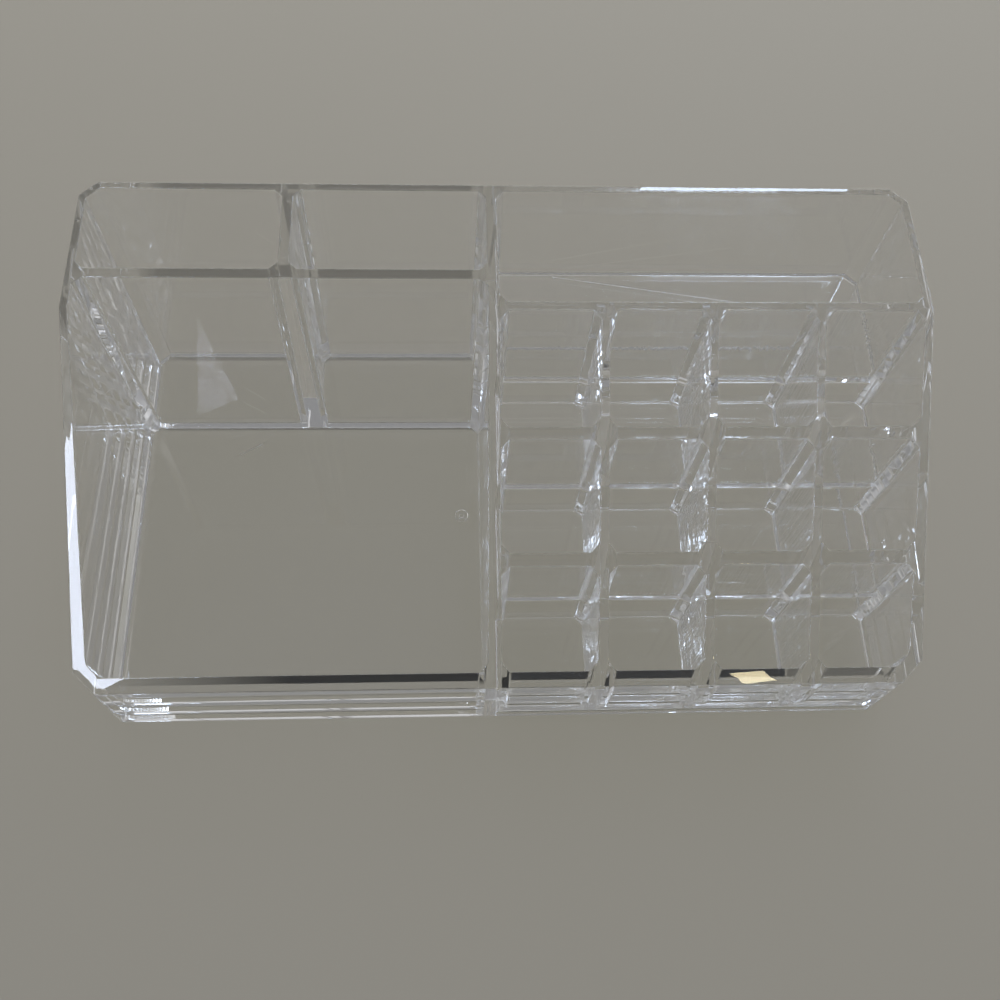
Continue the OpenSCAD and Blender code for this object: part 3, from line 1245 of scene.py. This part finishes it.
@dataclass(frozen=True)
class Softbox:
    """A rectangular lamp that looks at the organizer.

    Bearing is clockwise from straight behind the organizer and elevation is above the table, both
    in degrees. The lamp's width and height are angles too, and so is its roll, clockwise as the
    organizer sees it. Distance is in metres, and glow is the brightness beside a white sheet's.
    """

    name: str
    bearing: float
    elevation: float
    wide: float
    high: float
    roll: float
    distance: float
    glow: float
    colour: str
    seen: Seen

    def build(self, target: Vector) -> None:
        """Adds the lamp, turned towards a target."""
        turn, rise = math.radians(self.bearing), math.radians(self.elevation)
        way = Vector(
            (math.sin(turn) * math.cos(rise), math.cos(turn) * math.cos(rise), math.sin(rise))
        )
        lamp = bpy.data.lights.new(self.name, "AREA")
        lamp.shape = "RECTANGLE"
        lamp.size = 2 * self.distance * math.tan(math.radians(self.wide / 2))
        lamp.size_y = 2 * self.distance * math.tan(math.radians(self.high / 2))
        # An area lamp of one watt a square metre glows at 1 / pi
        lamp.energy = self.glow * math.pi * lamp.size * lamp.size_y
        lamp.color = linear(self.colour)[:3]
        if self.seen is Seen.REFLECTED:
            self.fade(lamp)
        made = add_object(self.name, lamp)
        made.location = target + way * self.distance
        facing = (-way).to_track_quat("-Z", "Y").to_matrix()
        rolled = facing @ Matrix.Rotation(math.radians(self.roll), 3, "Z")
        made.rotation_euler = rolled.to_euler()
        # A fill lamp's light is sampled from the lamp alone, so none is lost in the plastic
        lamp.cycles.use_multiple_importance_sampling = self.seen is not Seen.NOWHERE
        made.visible_transmission = self.seen is Seen.EVERYWHERE
        made.visible_glossy = self.seen is not Seen.NOWHERE
        made.visible_diffuse = self.seen is not Seen.REFLECTED

    @staticmethod
    def fade(lamp: bpy.types.AreaLight) -> None:
        """Hides a lamp from light that has turned too often."""
        tree = empty_tree(lamp)
        inputs = [add_node(tree, "ShaderNodeLightPath")["Ray Depth"], LAMP_TURNS]
        early = add_node(tree, "ShaderNodeMath", inputs, operation="LESS_THAN")[0]
        glow = add_node(tree, "ShaderNodeEmission", {"Strength": early})
        add_node(tree, "ShaderNodeOutputLight", {"Surface": glow[0]})


@dataclass(frozen=True)
class Studio:
    """Floor, lamps, surroundings and camera."""

    # The camera stands where the photograph was taken from, in millimetres, and these are its
    # right, up and backward directions
    camera_place: Triple = (-17.52, -151.89, 329.97)
    camera_right: Triple = (0.998595, -0.028319, 0.044783)
    camera_up: Triple = (0.006181, 0.901680, 0.432361)
    camera_back: Triple = (-0.052624, -0.431476, 0.900588)
    sensor: float = 36.0
    lens: float = 39.14
    clip: Pair = (0.01, 50.0)
    # The table's drop below the base in millimetres and half its width in metres, and the height
    # that the lamps look at
    floor_drop: float = 0.05
    floor_half: float = 6.0
    lamps_aim: float = 0.03
    # Light crosses up to a dozen clear walls, two faces each, before it reaches the table, and
    # runs down inside a wall by many reflections
    bounces: int = 48
    inner_bounces: int = 32
    shadow_bounces: int = 64
    # The room's brightness beside a white sheet's: its pale walls through the plastic, the same in
    # reflections, the ceiling and the dim side, and what the room gives the table. The walls end
    # between two heights, as sines of the angle above the table, and dim between two cosines of
    # the angle from the bright way
    room: str = "#f4f5f8"
    wall_glow: float = 0.95
    wall_shine: float = 3.0
    ceiling_glow: float = 0.28
    fill: float = 0.04
    wall_low: float = 0.5
    wall_high: float = 0.68
    bright_way: Triple = (0.5, 0.866, 0.0)
    bright_ends: Pair = (-0.1, 0.85)
    lamps: tuple[Softbox, ...] = (
        Softbox("window", 21.0, 41.2, 10.5, 11.0, 14.0, 5.0, 13.0, "#cfe2ff", Seen.EVERYWHERE),
        Softbox("side_window", -148.7, 48.5, 11.1, 16.2, 0.0, 4.0, 14.0, "#dfe9ff", Seen.REFLECTED),
        Softbox("room_lamp", 157.5, 40.6, 1.9, 2.6, 0.0, 3.0, 12.0, "#fff0c4", Seen.REFLECTED),
        Softbox("skylight", 6.0, 32.0, 34.0, 20.0, 0.0, 2.2, 6.0, "#fffcf8", Seen.NOWHERE),
        Softbox("ceiling", 0.0, 75.0, 50.0, 50.0, 0.0, 2.4, 1.9, "#fffcf8", Seen.NOWHERE),
    )

    def floor(self) -> bpy.types.Object:
        """The table top, just clear of the base."""
        half, z = self.floor_half, -self.floor_drop * MM
        mesh = bpy.data.meshes.new("table_top")
        corners = [(-half, -half, z), (half, -half, z), (half, half, z), (-half, half, z)]
        mesh.from_pydata(corners, [], [(0, 1, 2, 3)])
        mesh.materials.append(PaleTable().material())
        return add_object("table_top", mesh)

    def camera(self) -> None:
        """The camera, at the photograph's place and angle."""
        data = bpy.data.cameras.new("camera")
        data.sensor_width, data.lens = self.sensor, self.lens
        data.clip_start, data.clip_end = self.clip
        made = add_object("camera", data)
        turned = Matrix((self.camera_right, self.camera_up, self.camera_back)).transposed()
        made.matrix_world = Matrix.Translation(Vector(self.camera_place) * MM) @ turned.to_4x4()
        bpy.context.scene.camera = made

    def surroundings(self) -> None:
        """A plain room, with pale walls under a dimmer ceiling.

        The camera, reflections and the clear plastic see it as it is. The table gets less from it
        and is lit by the fill lamps instead, whose light reaches what is behind the plastic.
        """
        world = bpy.data.worlds.new("room")
        tree = empty_tree(world)
        way = add_node(tree, "ShaderNodeTexCoord")["Generated"]
        upward = add_node(tree, "ShaderNodeSeparateXYZ", [way])["Z"]
        soft = {"interpolation_type": "SMOOTHSTEP"}
        inputs = [upward, self.wall_low, self.wall_high, 1.0, 0.0]
        low = add_node(tree, "ShaderNodeMapRange", inputs, **soft)[0]
        inputs = [way, self.bright_way]
        facing = add_node(tree, "ShaderNodeVectorMath", inputs, operation="DOT_PRODUCT")["Value"]
        bright = add_node(tree, "ShaderNodeMapRange", [facing, *self.bright_ends], **soft)[0]
        pale = add_node(tree, "ShaderNodeMath", [low, bright], operation="MULTIPLY")[0]
        ray = add_node(tree, "ShaderNodeLightPath")
        inputs = [ray["Ray Depth"], SHINE_TURNS]
        early = add_node(tree, "ShaderNodeMath", inputs, operation="LESS_THAN")[0]
        inputs = [ray["Is Glossy Ray"], early]
        shine = add_node(tree, "ShaderNodeMath", inputs, operation="MULTIPLY")[0]
        kinds = ("Is Camera Ray", "Is Glossy Ray", "Is Transmission Ray")
        clear = highest(tree, [ray[kind] for kind in kinds])
        # The walls' shine gives way to their glow, that to the ceiling's, and that to the table's
        strength = self.wall_shine
        for share, start in (
            (shine, self.wall_glow), (pale, self.ceiling_glow), (clear, self.fill)
        ):
            inputs = [share, 0.0, 1.0, start, strength]
            strength = add_node(tree, "ShaderNodeMapRange", inputs)[0]
        inputs = {"Color": linear(self.room), "Strength": strength}
        glow = add_node(tree, "ShaderNodeBackground", inputs)
        add_node(tree, "ShaderNodeOutputWorld", {"Surface": glow[0]})
        bpy.context.scene.world = world

    def build(self) -> None:
        """Builds the studio round the organizer."""
        scene = bpy.context.scene
        scene.view_settings.view_transform = "Standard"
        scene.cycles.max_bounces = self.bounces
        scene.cycles.transmission_bounces = self.inner_bounces
        scene.cycles.glossy_bounces = self.inner_bounces
        scene.cycles.transparent_max_bounces = self.shadow_bounces
        # The lamps' way through the plastic is the shadow rays' own
        scene.cycles.caustics_reflective = False
        scene.cycles.caustics_refractive = False
        self.floor()
        for lamp in self.lamps:
            lamp.build(Vector((0.0, 0.0, self.lamps_aim)))
        self.surroundings()
        self.camera()


def main() -> None:
    """Loads the frame, builds the organizer over it and sets up the studio."""
    logging.basicConfig(level=logging.INFO, format="%(name)s: %(message)s")
    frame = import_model()
    finish = CrystalPolystyrene().material()
    moulding = Organizer().build(finish)
    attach(moulding, "root")
    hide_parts(*frame["nodes"])
    log.info("moulding stands for %d CAD nodes", len(frame["nodes"]))
    Studio().build()


if __name__ == "__main__":
    main()
